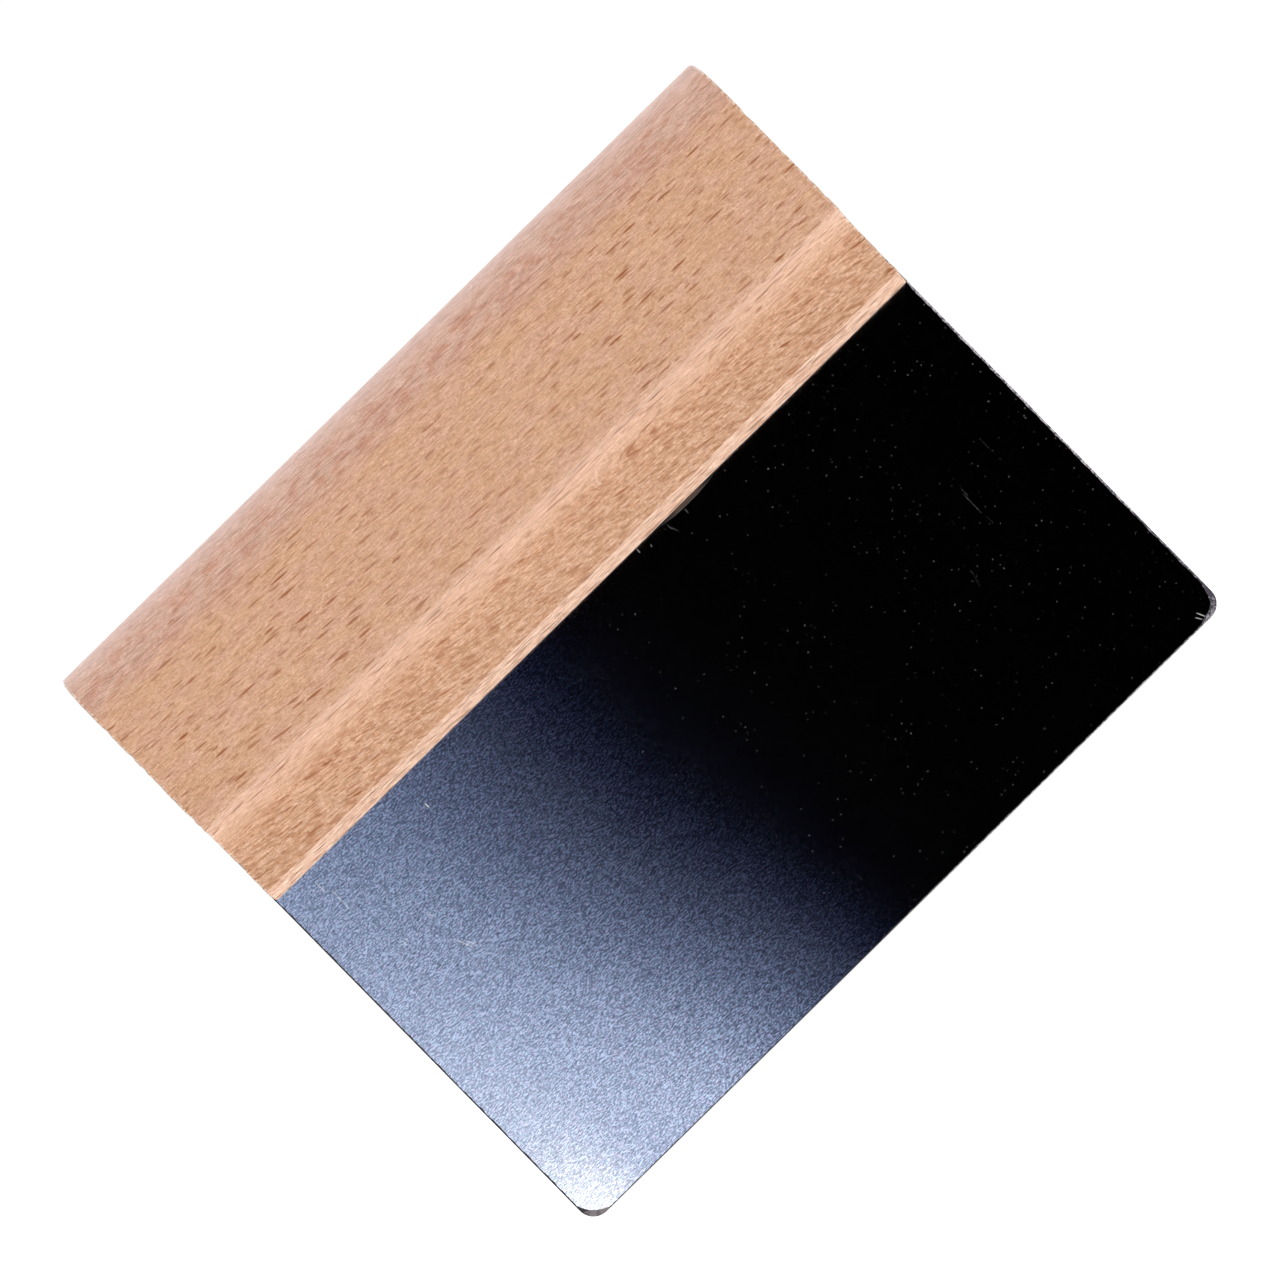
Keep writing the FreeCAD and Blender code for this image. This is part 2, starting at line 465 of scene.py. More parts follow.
def build_adhesive(material):
    """Film either side of the tang, the root, and the lens squeezed out on the front face."""
    bead_start = BEAD_CENTRE_X - BEAD_HALF_LENGTH
    bead_end = BEAD_CENTRE_X + BEAD_HALF_LENGTH
    rows = span(-HALF_WIDTH, bead_start, FILM_STEP)
    rows += span(bead_start, bead_end, BEAD_STEP)[1:]
    rows += span(bead_end, HALF_WIDTH, FILM_STEP)[1:]
    mesh_data = bmesh.new()
    rings = [[mesh_data.verts.new((x, y, z)) for y, z in adhesive_loop(x)] for x in rows]
    for near, far in zip(rings, rings[1:]):
        for i in range(len(near)):
            mesh_data.faces.new((near[i - 1], near[i], far[i], far[i - 1]))
    for ring in (rings[0], rings[-1]):
        mesh_data.faces.new(ring)
    bmesh.ops.remove_doubles(mesh_data, verts=mesh_data.verts, dist=0.001 * MM)
    bmesh.ops.triangulate(mesh_data, faces=[f for f in mesh_data.faces if len(f.verts) > 4])
    return finish_mesh("cured_adhesive", mesh_data, [material])


# ---------------------------------------------------------------- material helpers

class Nodes:
    """Short calls that add nodes to one material or world."""

    def __init__(self, tree):
        self.tree = tree
        tree.nodes.clear()

    def add(self, kind, inputs=(), **settings):
        made = self.tree.nodes.new(kind)
        for name, value in settings.items():
            setattr(made, name, value)
        for key, value in dict(inputs).items():
            if isinstance(value, bpy.types.NodeSocket):
                self.tree.links.new(value, made.inputs[key])
            else:
                made.inputs[key].default_value = value
        return made

    def math(self, operation, *values):
        return self.add("ShaderNodeMath", enumerate(values), operation=operation).outputs[0]

    def plus(self, first, second):
        return self.math("ADD", first, second)

    def minus(self, first, second):
        return self.math("SUBTRACT", first, second)

    def times(self, first, second):
        return self.math("MULTIPLY", first, second)

    def times_plus(self, first, second, third):
        return self.math("MULTIPLY_ADD", first, second, third)

    def largest(self, first, second):
        return self.math("MAXIMUM", first, second)

    def absolute(self, value):
        return self.math("ABSOLUTE", value)

    def ranged(self, values, rise):
        inputs = dict(zip(("Value", "From Min", "From Max", "To Min", "To Max"), values))
        return self.add("ShaderNodeMapRange", inputs, interpolation_type=rise, clamp=True).outputs["Result"]

    def smooth(self, value, low, high, to_low=0.0, to_high=1.0):
        return self.ranged((value, low, high, to_low, to_high), "SMOOTHSTEP")

    def linear(self, value, low, high, to_low=0.0, to_high=1.0):
        return self.ranged((value, low, high, to_low, to_high), "LINEAR")

    def mix(self, factor, first, second, blend="MIX"):
        made = self.add("ShaderNodeMix", data_type="RGBA", blend_type=blend)
        for index, value in ((0, factor), (6, first), (7, second)):
            if isinstance(value, bpy.types.NodeSocket):
                self.tree.links.new(value, made.inputs[index])
            elif index == 0:
                made.inputs[index].default_value = value
            else:
                made.inputs[index].default_value = (*value, 1)
        return made.outputs[2]

    def scaled(self, vector, x, y, z):
        """The vector with each part divided by a length, for stretched patterns."""
        inputs = {0: vector, 1: (1 / x, 1 / y, 1 / z)}
        return self.add("ShaderNodeVectorMath", inputs, operation="MULTIPLY").outputs[0]

    def noise(self, vector, detail=2.0, roughness=0.5, distortion=0.0):
        inputs = {"Vector": vector, "Scale": 1.0, "Detail": detail, "Roughness": roughness}
        inputs["Distortion"] = distortion
        return self.add("ShaderNodeTexNoise", inputs).outputs["Fac"]

    def cells(self, vector, dimensions="3D"):
        """Pattern of random cells, and three random numbers for each cell."""
        inputs = {"Vector": vector, "Scale": 1.0}
        cells = self.add("ShaderNodeTexVoronoi", inputs, feature="F1", voronoi_dimensions=dimensions).outputs
        return cells, self.add("ShaderNodeSeparateColor", {0: cells["Color"]}).outputs

    def length(self, vector):
        return self.add("ShaderNodeVectorMath", {0: vector}, operation="LENGTH").outputs["Value"]

    def split(self, vector):
        return tuple(self.add("ShaderNodeSeparateXYZ", {0: vector}).outputs)

    def vector(self, x, y, z):
        return self.add("ShaderNodeCombineXYZ", {0: x, 1: y, 2: z}).outputs[0]

    def millimetres(self):
        """Object position in millimetres, whole, and split into x, y and z."""
        coords = self.add("ShaderNodeTexCoord").outputs["Object"]
        whole = self.scaled(coords, MM, MM, MM)
        return whole, self.split(whole)

    def facing(self):
        """Direction of the surface, split into x, y and z."""
        return self.split(self.add("ShaderNodeNewGeometry").outputs["Normal"])

    def bump(self, height, strength, distance):
        """Normal bent by height; distance is the depth of a step from 0 to 1, in millimetres."""
        inputs = {"Strength": strength, "Distance": distance * MM, "Height": height}
        return self.add("ShaderNodeBump", inputs).outputs["Normal"]

    def finish(self, shader_inputs):
        """Ends the material in one principled shader."""
        shader = self.add("ShaderNodeBsdfPrincipled", shader_inputs)
        self.add("ShaderNodeOutputMaterial", {"Surface": shader.outputs[0]})


def new_material(name):
    material = bpy.data.materials.new(name)
    material.use_nodes = True
    return material, Nodes(material.node_tree)


# ---------------------------------------------------------------- beech

# Linear colours. A pair holds the two ends of one pattern
FLAT_PAIR = ((0.676, 0.394, 0.243), (0.686, 0.398, 0.272))
BLOTCH_DARK = (0.565, 0.290, 0.160)
BLOTCH_PALE = (0.735, 0.460, 0.310)
LATE_WOOD = (0.50, 0.255, 0.145)
BACK_PAIR = ((0.685, 0.436, 0.340), (0.620, 0.340, 0.252))
# Painted highlight: the crest of the back paler and whiter where the light glances off it
CREST_HIGHLIGHT = (0.700, 0.480, 0.420)
ARCHES = (0.590, 0.275, 0.170)
NECK_PAIR = ((0.790, 0.508, 0.352), (0.575, 0.285, 0.150))
# Paler slopes: partly the planed wood's own paler cut, partly a painted highlight where the cove and chamfer
# face the light from below
PLANED_AND_LIT_PAIR = ((0.680, 0.382, 0.258), (0.950, 0.675, 0.520))
# Pale band round the arris and the top of the cove: partly the wood's paler cut, partly a painted highlight
PALE_ARRIS_HIGHLIGHT = (0.740, 0.465, 0.325)
FIBRE_GAIN = (1.34, 1.45, 1.57)
PORE_GAIN = (0.71, 0.595, 0.485)
RAY_FLECK = (0.345, 0.100, 0.027)
SLIVER = (0.93, 0.75, 0.60)
VESSEL_HAIR = (0.200, 0.060, 0.020)
# Pale frayed fibres, partly a painted highlight on the sawn ends
FRAYED_HIGHLIGHT = (0.96, 0.82, 0.69)
SINGED = (0.46, 0.18, 0.08)
END_RING_PAIR = ((0.50, 0.285, 0.165), (0.36, 0.18, 0.095))
END_PORE = (0.22, 0.10, 0.05)
END_RAY = (0.60, 0.37, 0.235)

# Levels in millimetres above the cutting edge
ARRIS_LEVEL = ARRIS_Z / MM
NECK_LEVELS = (ARRIS_LEVEL - 2.4, ARRIS_LEVEL - 5.1)
BACK_LEVELS = (121.4, 127.0)
# Where the painted highlight along the crest starts and where it is full
CREST_HIGHLIGHT_LEVELS = (126.3, 130.2)
MID_GRIP_LEVEL = (ARRIS_Z + SPRING_Z) / 2 / MM

# The pith of the tree lay behind the handle and below its grip; millimetres
PITH_Y = 62.0
PITH_LEVEL = 70.0
RING_WIDTH = 2.3


class BeechPlace:
    """Where a point lies on the handle and in its grain; every value is a node socket."""

    def __init__(self, n):
        self.whole, (self.x, self.y, self.z) = n.millimetres()
        facing = n.facing()
        self.end_face = n.smooth(n.absolute(facing[0]), 0.85, 0.97)
        self.sloping = n.smooth(n.absolute(facing[2]), 0.46, 0.78)
        # The grain runs a few degrees off the handle's length, more at the left than at the right
        wander = n.noise(n.scaled(self.whole, 55, 30, 16), detail=1.0)
        lean = n.times(self.x, n.times_plus(self.x, -0.0002, 0.055))
        self.lifted = n.times_plus(wander, 3.0, n.plus(self.z, lean))
        self.grain = n.vector(self.x, self.y, self.lifted)
        self.neck = n.smooth(self.z, *NECK_LEVELS)
        self.mottle = n.noise(n.scaled(self.grain, 3.6, 4, 1.6), detail=3.0, roughness=0.6, distortion=0.4)
        self.back = n.smooth(n.times_plus(self.mottle, 5.0, self.z), *BACK_LEVELS)
        # planed marks the cove and chamfer, whose paleness is partly a painted highlight from the light below
        self.planed = n.times(self.sloping, n.minus(1.0, self.back))


def growth_rings(n, place):
    """0 at the start of each year's growth round the pith, rising to 1 at its end."""
    pith_y = n.plus(place.y, -PITH_Y)
    pith_z = n.plus(place.lifted, -PITH_LEVEL)
    squares = n.times_plus(pith_y, pith_y, n.times(pith_z, pith_z))
    rings = n.math("DIVIDE", n.math("POWER", squares, 0.5), RING_WIDTH)
    shift = n.noise(n.scaled(place.grain, 70, 14, 14), detail=2.0)
    return n.math("FRACT", n.times_plus(shift, 2.2, rings))


def flat_tone(n, place, ring_phase):
    """Ground tone of the flats, with broad soft bands and faint short blotches."""
    bands = n.noise(n.scaled(place.grain, 9, 6, 2.4), detail=3.0, roughness=0.6)
    blotches = n.noise(n.scaled(place.grain, 3.6, 3, 0.62), detail=3.0, roughness=0.6)
    colour = n.mix(n.smooth(bands, 0.38, 0.62), *FLAT_PAIR)
    colour = n.mix(n.smooth(blotches, 0.44, 0.70, 0.0, 0.45), colour, BLOTCH_DARK)
    colour = n.mix(n.smooth(blotches, 0.46, 0.28, 0.0, 0.45), colour, BLOTCH_PALE)
    return n.mix(n.smooth(ring_phase, 0.45, 0.97, 0.0, 0.08), colour, LATE_WOOD)


def add_back(n, place, colour):
    """The back of the handle cuts across the rings: pinker, mottled and free of flecks, with a painted
    highlight along its crest.
    """
    back_colour = n.mix(n.smooth(place.mottle, 0.44, 0.68), *BACK_PAIR)
    # Painted highlight along the crest
    back_colour = n.mix(n.smooth(place.z, *CREST_HIGHLIGHT_LEVELS, 0.0, 0.85), back_colour, CREST_HIGHLIGHT)
    colour = n.mix(place.back, colour, back_colour)
    arch_line = n.vector(place.x, place.y, n.times_plus(place.x, -0.12, place.z))
    arches = n.noise(n.scaled(arch_line, 4.5, 6, 1.3), detail=2.0, distortion=0.6)
    zone = n.times(n.smooth(place.z, 120.8, 122.4), n.smooth(place.z, 127.6, 126.0))
    return n.mix(n.times(zone, n.smooth(arches, 0.54, 0.68, 0.0, 0.6)), colour, ARCHES)


def torn_fibres(n, place):
    """Uneven pattern of the neck, which was cut deeper and rougher than the rest."""
    torn_line = n.vector(place.x, place.y, n.times_plus(place.x, 0.19, place.z))
    return n.noise(n.scaled(torn_line, 1.5, 1.0, 0.42), detail=4.0, roughness=0.7)


def add_cut_surfaces(n, place, colour, torn):
    """Torn neck, paler planed slopes, and a pale band over the arris and the cove; both paler parts are
    partly the wood's own paler cut and partly a painted highlight from the light below.
    """
    neck_colour = n.mix(n.smooth(torn, 0.34, 0.64), *NECK_PAIR)
    colour = n.mix(n.times(place.neck, 0.75), colour, neck_colour)
    streaks = n.noise(n.scaled(place.grain, 4.5, 0.28, 0.24), detail=3.0, roughness=0.7)
    # Paler slopes, partly the wood's own colour and partly a painted highlight
    planed_lit_colour = n.mix(n.smooth(streaks, 0.39, 0.57), *PLANED_AND_LIT_PAIR)
    colour = n.mix(place.planed, colour, planed_lit_colour)
    # Pale band from just over the arris down the cove, partly a painted highlight, fading into the neck
    above_cove = n.linear(place.neck, 0, 1, 0.7, 0.0)
    arris_highlight = n.smooth(place.z, ARRIS_LEVEL + 2.4, ARRIS_LEVEL, 0.0, above_cove)
    return n.mix(arris_highlight, colour, PALE_ARRIS_HIGHLIGHT)


def fine_fibres(n, place):
    """Fine fibres along the grain, high, with the pores between them, low."""
    fibres = n.noise(n.scaled(place.grain, 2.6, 0.15, 0.15), detail=2.0, roughness=0.6)
    grit = n.noise(n.scaled(place.grain, 0.26, 0.16, 0.13), detail=1.0)
    return n.times_plus(grit, 0.45, n.times(fibres, 0.55))


def add_fibres(n, colour, fine):
    paler = n.mix(1.0, colour, FIBRE_GAIN, "MULTIPLY")
    darker = n.mix(1.0, colour, PORE_GAIN, "MULTIPLY")
    colour = n.mix(n.smooth(fine, 0.50, 0.66), colour, paler)
    return n.mix(n.smooth(fine, 0.50, 0.34), colour, darker)


def spindles(n, along, across, length, pitch, share, reach, width):
    """Scattered pointed marks. length and pitch are their mean spacing along and across the grain, share is
    how many places hold one, and reach and width are the half sizes of the largest, all in millimetres."""
    cell = n.vector(n.math("DIVIDE", along, length), n.math("DIVIDE", across, pitch), 0.0)
    cells, pick = n.cells(cell, "2D")
    offset_inputs = {0: cell, 1: cells["Position"]}
    offset = n.add("ShaderNodeVectorMath", offset_inputs, operation="SUBTRACT").outputs[0]
    off_centre = n.split(offset)
    half_length = n.times_plus(pick[0], 0.5 * reach / length, 0.5 * reach / length)
    position = n.math("DIVIDE", off_centre[0], half_length)
    taper = n.minus(1.0, n.times(position, position))
    aside = n.math("DIVIDE", n.absolute(off_centre[1]), width / pitch)
    spindle = n.smooth(n.minus(taper, aside), 0.0, 0.6)
    present = n.math("LESS_THAN", pick[2], share)
    depth = n.times_plus(pick[1], 0.4, 0.6)
    return n.times(n.times(spindle, present), depth)


# Layers of ray flecks: where the layer starts along the grain, the sizes that spindles() takes,
# and the layer's strength on the flats and on the neck
FLECK_LAYERS = (
    (0.0, (8.0, 2.6, 0.38, 2.6, 0.28), 1.0, 1.0),
    (31.0, (6.0, 1.8, 0.52, 2.1, 0.23), 0.75, 0.75),
    (57.0, (5.0, 1.5, 0.58, 1.7, 0.20), 0.50, 0.50),
    (77.0, (2.4, 0.80, 0.50, 0.7, 0.16), 0.30, 0.75),
    (7.0, (4.6, 1.5, 0.45, 2.0, 0.38), 0.0, 0.42),
)
SLIVER_START = 113.0
SLIVER_SIZES = (2.6, 0.90, 0.35, 0.6, 0.14)


def fleck_pattern(n, place):
    """Ray flecks and pale slivers: on the flats and more on the neck, faint on the slopes and the back."""
    tilt = n.times(n.times(place.x, place.neck), 0.13)
    across = n.plus(tilt, n.times_plus(place.y, 0.9, place.lifted))
    along = n.times_plus(place.y, 1.9, place.x)
    flecks = 0.0
    for start, sizes, on_flats, on_neck in FLECK_LAYERS:
        layer = spindles(n, n.plus(along, start), across, *sizes)
        strength = n.linear(place.neck, 0, 1, on_flats, on_neck)
        flecks = n.largest(flecks, n.times(layer, strength))
    smoothed = n.largest(n.largest(place.sloping, place.back), place.end_face)
    plain = n.linear(smoothed, 0, 1, 1.0, 0.06)
    towards_ends = n.smooth(n.absolute(place.x), 8, 40, 0.78, 1.10)
    flecks = n.times(n.times(flecks, plain), towards_ends)
    slivers = spindles(n, n.plus(along, SLIVER_START), across, *SLIVER_SIZES)
    sliver_strength = n.times(plain, n.linear(place.neck, 0, 1, 0.30, 0.55))
    return flecks, n.times(slivers, sliver_strength)


def vessel_hairs(n, place):
    """Long dark vessel lines, plainest on the slopes and the back."""
    # Height plus or minus depth keeps rising all the way round the section, so no hair smears
    on_back = n.math("GREATER_THAN", place.z, MID_GRIP_LEVEL)
    outwards = n.times(n.absolute(place.y), n.linear(on_back, 0, 1, 1.0, -1.0))
    stretch = n.linear(on_back, 0, 1, 1.0, 1.8)
    round_section = n.times(n.plus(place.lifted, outwards), stretch)
    long_hairs = spindles(n, n.plus(place.x, 19.0), round_section, 9.0, 1.3, 0.46, 3.8, 0.25)
    short_hairs = spindles(n, n.plus(place.x, 43.0), round_section, 5.0, 1.0, 0.48, 1.9, 0.19)
    hair = n.largest(long_hairs, n.times(short_hairs, 0.75))
    strength = n.linear(place.planed, 0, 1, n.linear(place.back, 0, 1, 0.0, 0.60), 1.0)
    strength = n.times(strength, n.minus(1.0, place.end_face))
    return n.times(hair, strength)


def add_saw_marks(n, place, colour):
    """The saw left the arrises of both ends frayed, with pale fibres that are partly a painted highlight, and
    here and there singed.
    """
    from_end = n.minus(HALF_WIDTH / MM, n.absolute(place.x))
    fray = n.noise(n.scaled(place.whole, 0.9, 0.5, 0.45), detail=2.0)
    frayed = n.times(n.smooth(from_end, 0.8, 0.2), n.smooth(fray, 0.48, 0.58))
    # Pale frayed fibres, partly a painted highlight along the sawn ends
    colour = n.mix(n.times(frayed, 0.9), colour, FRAYED_HIGHLIGHT)
    singed = n.times(n.smooth(from_end, 0.7, 0.2), n.smooth(fray, 0.44, 0.36))
    return n.mix(n.times(singed, 0.6), colour, SINGED)


def end_pores(n, place):
    """Open pores, seen only where the grain was cut across."""
    cells = n.cells(n.scaled(place.whole, 0.34, 0.34, 0.34))[0]
    return n.smooth(cells["Distance"], 0.30, 0.12)


def add_end_grain(n, place, colour, ring_phase, pores):
    """Sawn end grain is darker, with rings, ray lines and pores."""
    end_colour = n.mix(n.smooth(ring_phase, 0.5, 0.98), *END_RING_PAIR)
    end_colour = n.mix(n.times(pores, 0.4), end_colour, END_PORE)
    ray_lines = n.noise(n.scaled(place.whole, 1, 7, 0.33), detail=1.0)
    end_colour = n.mix(n.smooth(ray_lines, 0.56, 0.68, 0.0, 0.4), end_colour, END_RAY)
    return n.mix(place.end_face, colour, end_colour)


def beech_material():
    """Flat sawn, steamed beech, planed and sanded but not varnished."""
    material, n = new_material("beech")
    place = BeechPlace(n)
    ring_phase = growth_rings(n, place)
    torn = torn_fibres(n, place)
    fine = fine_fibres(n, place)
    flecks, slivers = fleck_pattern(n, place)
    hairs = vessel_hairs(n, place)
    pores = end_pores(n, place)

    colour = flat_tone(n, place, ring_phase)
    colour = add_back(n, place, colour)
    colour = add_cut_surfaces(n, place, colour, torn)
    colour = add_fibres(n, colour, fine)
    colour = n.mix(n.times(flecks, 0.92), colour, RAY_FLECK)
    colour = n.mix(slivers, colour, SLIVER)
    colour = n.mix(hairs, colour, VESSEL_HAIR)
    colour = add_saw_marks(n, place, colour)
    colour = add_end_grain(n, place, colour, ring_phase, pores)

    # Torn fibres stand up; flecks, hairs and pores are hollows
    height = n.times_plus(fine, 0.6, n.times(flecks, -0.35))
    height = n.times_plus(hairs, -0.8, height)
    height = n.times_plus(n.times(torn, place.neck), 0.9, height)
    height = n.times_plus(n.times(pores, place.end_face), -0.8, height)
    n.finish({
        "Base Color": colour,
        "Roughness": n.linear(fine, 0.35, 0.65, 0.5, 0.66),
        "Specular IOR Level": 0.35,
        "Sheen Weight": 0.5,
        "Sheen Roughness": 0.35,
        "Normal": n.bump(height, 0.6, 0.07),
    })
    return material


# ---------------------------------------------------------------- steel

# Marks on the front of the sheet: centre x and z, half length, lean and strength; millimetres
SCRATCHES = (
    (-68.8, 74.0, 1.5, 0.0, 0.40),
    (-67.8, 69.8, 2.7, 0.0, 0.36),
    (-45.9, 71.3, 0.5, 0.0, 0.9),
    (-65.2, 57.1, 0.6, 0.05, 0.6),
    (-64.5, 57.2, 0.5, 0.0, 0.35),
    (-62.7, 56.7, 0.3, 0.0, 0.5),
    (-58.6, 57.4, 0.9, -0.5, 0.35),
    (-57.9, 49.8, 1.5, -0.4, 0.6),
    (-57.0, 49.2, 1.0, -0.45, 0.5),
    (57.2, 42.6, 2.6, 0.02, 0.06),
    (57.6, 45.0, 1.0, 0.0, 0.05),
    (57.4, 38.6, 1.1, 0.0, 0.03),
    (65.9, 48.6, 1.5, 0.0, 0.03),
    (48.6, 33.1, 1.9, 0.28, 0.02),
    (10.6, 77.0, 0.45, 0.0, 0.40),
    (12.8, 76.1, 0.3, 0.3, 0.35),
    (17.3, 76.2, 0.6, 0.0, 0.14),
    (17.7, 75.2, 0.6, -0.35, 0.10),
    (21.3, 76.1, 0.5, 0.05, 0.12),
    (71.1, 1.3, 0.6, -0.6, 0.6),
    (71.9, 1.3, 1.1, -0.45, 0.7),
)

# Linear colours. A pair holds the two ends of one pattern
# Painted reflection in the grain: near black for the dark room, white for painted glints; the grey between is
# the sheet's own
PAINTED_DARK_STREAK, SHEET_GREY, PAINTED_GLINT = (0.03, 0.04, 0.07), (0.44, 0.44, 0.44), (1.0, 0.98, 0.94)
HUE_PAIR = ((0.95, 1.0, 1.04), (1.07, 0.92, 1.0))
ROLLING_LINE = (0.82, 0.82, 0.83)
EVEN_GREY = (0.56, 0.56, 0.57)
DUST = (0.93, 0.90, 0.85)
SCORE_PAIR = ((0.26, 0.225, 0.225), (0.48, 0.42, 0.42))
BEVEL_PAIR = ((0.13, 0.11, 0.145), (0.70, 0.66, 0.70))
STAIN = (0.05, 0.045, 0.05)

# Size of one glint of the short grain along x, y and z, and how far its streaks repeat upwards; millimetres
GLINT_SIZE = (0.30, 4, 0.16)
STREAK_SIZE = (1.0, 4, 0.17)
STREAK_SHIFT = 0.20
DUST_PITCH = 1.3


def scratch_marks(n, x, y, z):
    """Strength of the handling scratches, on the front face only."""
    marks = 0.0
    for centre_x, centre_z, half_length, lean, strength in SCRATCHES:
        along = n.minus(z, centre_z)
        across = n.times_plus(along, -lean, n.minus(x, centre_x))
        line = n.smooth(n.absolute(across), 0.13, 0.05, 0.0, strength)
        inside = n.smooth(n.absolute(along), half_length, half_length * 0.7)
        marks = n.largest(marks, n.times(line, inside))
    return n.times(marks, n.math("LESS_THAN", y, 0.0))


def dust_specks(n, x, z):
    """Sparse specks of flour dust, thicker in drifts."""
    drifts = n.noise(n.scaled(n.vector(x, 0.0, z), 9, 9, 9), detail=2.0)
    cell = n.vector(n.math("DIVIDE", x, DUST_PITCH), n.math("DIVIDE", z, DUST_PITCH), 0.0)
    cells, pick = n.cells(cell, "2D")
    limit = n.smooth(drifts, 0.48, 0.72, 0.78, 0.25)
    present = n.math("GREATER_THAN", pick[2], limit)
    radius = n.times_plus(pick[1], 0.06, 0.07)
    speck = n.math("LESS_THAN", cells["Distance"], radius)
    bright = n.times(n.times(pick[0], pick[0]), 0.12)
    return n.times(n.times(speck, present), bright)


def short_grain(n, whole, x, y, z):
    """Short scratches along the cutting edge: random glints over fine streaks, painted into the colour as
    glints and dark reflection.
    """
    raised = n.vector(x, y, n.plus(z, STREAK_SHIFT))
    streaks = n.noise(n.scaled(whole, *STREAK_SIZE), detail=0.0)
    streaks = n.minus(streaks, n.noise(n.scaled(raised, *STREAK_SIZE), detail=0.0))
    streaks = n.times_plus(streaks, 0.40, 0.5)
    pick = n.cells(n.scaled(whole, *GLINT_SIZE))[1]
    glints = n.times_plus(pick[0], 0.46, 0.27)
    return n.times_plus(glints, 0.5, n.times(streaks, 0.5))


def sheet_material():
    """Cold rolled stainless sheet with a fine short grain along the cutting edge, painted with glints and
    dark reflection.
    """
    material, n = new_material("blade_steel")
    whole, (x, y, z) = n.millimetres()
    grain = short_grain(n, whole, x, y, z)
    long_lines = n.noise(n.scaled(whole, 30, 9, 0.22), detail=2.0)
    clouds = n.noise(n.scaled(whole, 22, 20, 12), detail=2.0)
    hue = n.noise(n.scaled(whole, 0.9, 4, 0.6), detail=2.0)
    # The grain's colour is painted: dark reflection in its streaks and painted glints on top of the sheet's
    # grey
    colour = n.mix(n.smooth(grain, 0.33, 0.51), PAINTED_DARK_STREAK, SHEET_GREY)
    colour = n.mix(n.smooth(grain, 0.50, 0.59), colour, PAINTED_GLINT)
    colour = n.mix(1.0, colour, n.mix(n.smooth(hue, 0.38, 0.62), *HUE_PAIR), "MULTIPLY")
    colour = n.mix(n.smooth(long_lines, 0.55, 0.75, 0.0, 0.15), colour, ROLLING_LINE)

    # The grain's painted glints and dark reflection are weaker towards one lower corner, where the mirrored
    # window is brightest, and on the back
    glint_fade = n.times(n.linear(x, -22, -76, 0.0, 0.50), n.smooth(z, 60, 8, 0.7, 1.0))
    calm = n.largest(glint_fade, n.smooth(y, -0.2, 0.2, 0.0, 0.65))
    colour = n.mix(calm, colour, EVEN_GREY)
    scuffed = n.largest(scratch_marks(n, x, y, z), dust_specks(n, x, z))
    colour = n.mix(scuffed, colour, DUST)
    n.finish({
        "Base Color": colour,
        "Metallic": n.minus(1.0, scuffed),
        "Roughness": n.times_plus(grain, 0.03, n.linear(clouds, 0.3, 0.7, 0.080, 0.095)),
        "Anisotropic": 0.85,
        "Tangent": n.add("ShaderNodeTangent", direction_type="UV_MAP", uv_map="grain").outputs[0],
        "Normal": n.bump(n.times_plus(long_lines, 0.4, grain), 0.2, 0.002),
    })
    return material


def ground_material():
    """Edge dressed on a grinding belt: dull, with fine scores straight across it."""
    material, n = new_material("ground_steel")
    whole, place = n.millimetres()
    x, z = place[0], place[2]
    along = n.add("ShaderNodeUVMap", uv_map="grain").outputs[0]
    scores = n.noise(n.scaled(along, 0.13, 6, 1), detail=2.0, roughness=0.6)
    nicks = n.noise(n.scaled(along, 1.1, 6, 1), detail=2.0)
    speckle = n.noise(n.scaled(whole, 0.32, 1, 0.32), detail=1.0)
    colour = n.mix(n.smooth(scores, 0.3, 0.7), *SCORE_PAIR)

    # The bevels next to the faces are worn in specks, plainest on the right
    facing_y = n.absolute(n.facing()[1])
    bevel = n.smooth(facing_y, 0.3, 0.6)
    worn_height = n.plus(n.linear(z, 5, 40, -0.12, 0.04), n.smooth(z, 1.2, 0.2, 0.0, 0.14))
    worn = n.smooth(n.plus(speckle, worn_height), 0.46, 0.58)
    colour = n.mix(n.times(bevel, n.smooth(x, -20, 20)), colour, n.mix(worn, *BEVEL_PAIR))

    # On the left the narrow bevels and the ground corner are stained dark
    narrow = n.times(bevel, n.smooth(facing_y, 0.95, 0.91))
    burnt = n.smooth(n.times_plus(speckle, 2.0, z), 3.0, 3.6)
    stain = n.times(n.largest(narrow, burnt), n.smooth(x, 12, -12, 0.0, 0.92))
    colour = n.mix(n.largest(n.smooth(nicks, 0.52, 0.66, 0.0, 0.4), stain), colour, STAIN)
    n.finish({
        "Base Color": colour,
        "Metallic": 0.45,
        "Roughness": n.linear(scores, 0.3, 0.7, 0.34, 0.5),
        "Normal": n.bump(scores, 0.5, 0.02),
    })
    return material


# ---------------------------------------------------------------- adhesive's look

ADHESIVE_PAIR = ((0.055, 0.031, 0.021), (0.105, 0.062, 0.042))
ADHESIVE_RIM_HIGHLIGHT = (0.17, 0.15, 0.14)
ADHESIVE_THIN = (0.010, 0.009, 0.009)


